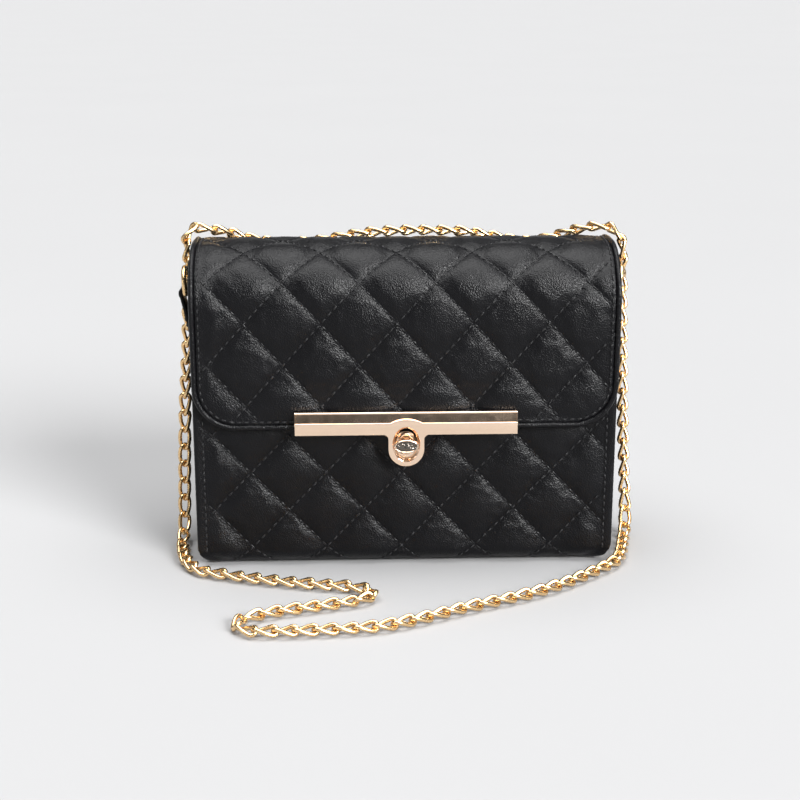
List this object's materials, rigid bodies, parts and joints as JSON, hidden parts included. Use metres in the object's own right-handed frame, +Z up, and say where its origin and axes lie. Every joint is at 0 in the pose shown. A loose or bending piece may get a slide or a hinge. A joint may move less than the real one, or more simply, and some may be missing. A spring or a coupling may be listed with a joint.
{
  "type": "crossbody purse",
  "caption": "Small black quilted purse with a domed flap, a rose gold bar and turn lock, an inner zip pocket and a long curb chain through two end rings.",
  "frame": {"origin": "on the underside of the base, in the middle of the body width and halfway between the front of the lock and the back of the body", "axes": "+X to the wearer's side seen at the right of the front, +Y from the front with the flap and lock to the back, +Z up"},
  "size_m": [0.222, 0.1493, 0.1534],
  "materials": {
    "black_leather": "satin, fine pebble grain, quilted",
    "lining_cloth": "matte fine twill",
    "zip_tape_cloth": "matte woven tape",
    "foam_sheet": "matte foam",
    "grey_board": "matte pressed fibre board",
    "lock_gold": "polished rose gold plate",
    "chain_gold": "polished light gold plate",
    "zip_metal": "polished light gold plate",
    "plain_steel": "plain stamped"
  },
  "bodies": {
    "purse_body": {"front_panel": "black_leather", "back_panel": "black_leather", "base_panel": "black_leather", "base_board": "grey_board", "front_wadding": "foam_sheet", "back_wadding": "foam_sheet", "left_gusset": "black_leather", "right_gusset": "black_leather", "lining": "lining_cloth", "zip_pocket_bag": "lining_cloth", "zip_tape": "zip_tape_cloth", "zip_teeth": "zip_metal", "lock_foot_plate": "lock_gold", "lock_post": "lock_gold", "lock_back_plate": "plain_steel", "left_ring_tab": "black_leather", "right_ring_tab": "black_leather", "chain_top_strand": "chain_gold", "chain_long_strand": "chain_gold"},
    "flap": {"flap_panel": "black_leather", "flap_wadding": "foam_sheet", "flap_lining": "lining_cloth", "flap_edge_roll": "black_leather", "lock_bar": "lock_gold", "bar_back_plate": "plain_steel"},
    "lock_knob": {"turn_knob": "lock_gold"},
    "left_ring": {"left_d_ring": "chain_gold"},
    "right_ring": {"right_d_ring": "chain_gold"},
    "pocket_slider": {"zip_slider": "zip_metal"},
    "pocket_pull": {"zip_pull": "zip_metal"}
  },
  "joints": [
    {"name": "flap_hinge", "type": "hinge", "parent": "purse_body", "child": "flap", "pos_m": [0, 0.017, 0.14845], "axis": [-1, 0, 0], "range_deg": [0, 110]},
    {"name": "knob_turn", "type": "hinge", "parent": "purse_body", "child": "lock_knob", "pos_m": [0, -0.0395, 0.0623], "axis": [0, -1, 0], "range_deg": [0, 90]},
    {"name": "left_ring_swing", "type": "hinge", "parent": "purse_body", "child": "left_ring", "pos_m": [-0.1006, 0.006, 0.1242], "axis": [0, -1, 0], "range_deg": [-15, 30]},
    {"name": "right_ring_swing", "type": "hinge", "parent": "purse_body", "child": "right_ring", "pos_m": [0.099, 0.006, 0.1242], "axis": [0, 1, 0], "range_deg": [-25, 20]},
    {"name": "zip_slide", "type": "slide", "parent": "purse_body", "child": "pocket_slider", "axis": [1, 0, 0], "range_m": [0, 0.116]},
    {"name": "zip_pull_swing", "type": "hinge", "parent": "pocket_slider", "child": "pocket_pull", "pos_m": [-0.058, 0.03, 0.1066], "axis": [-1, 0, 0], "range_deg": [0, 120]}
  ]
}
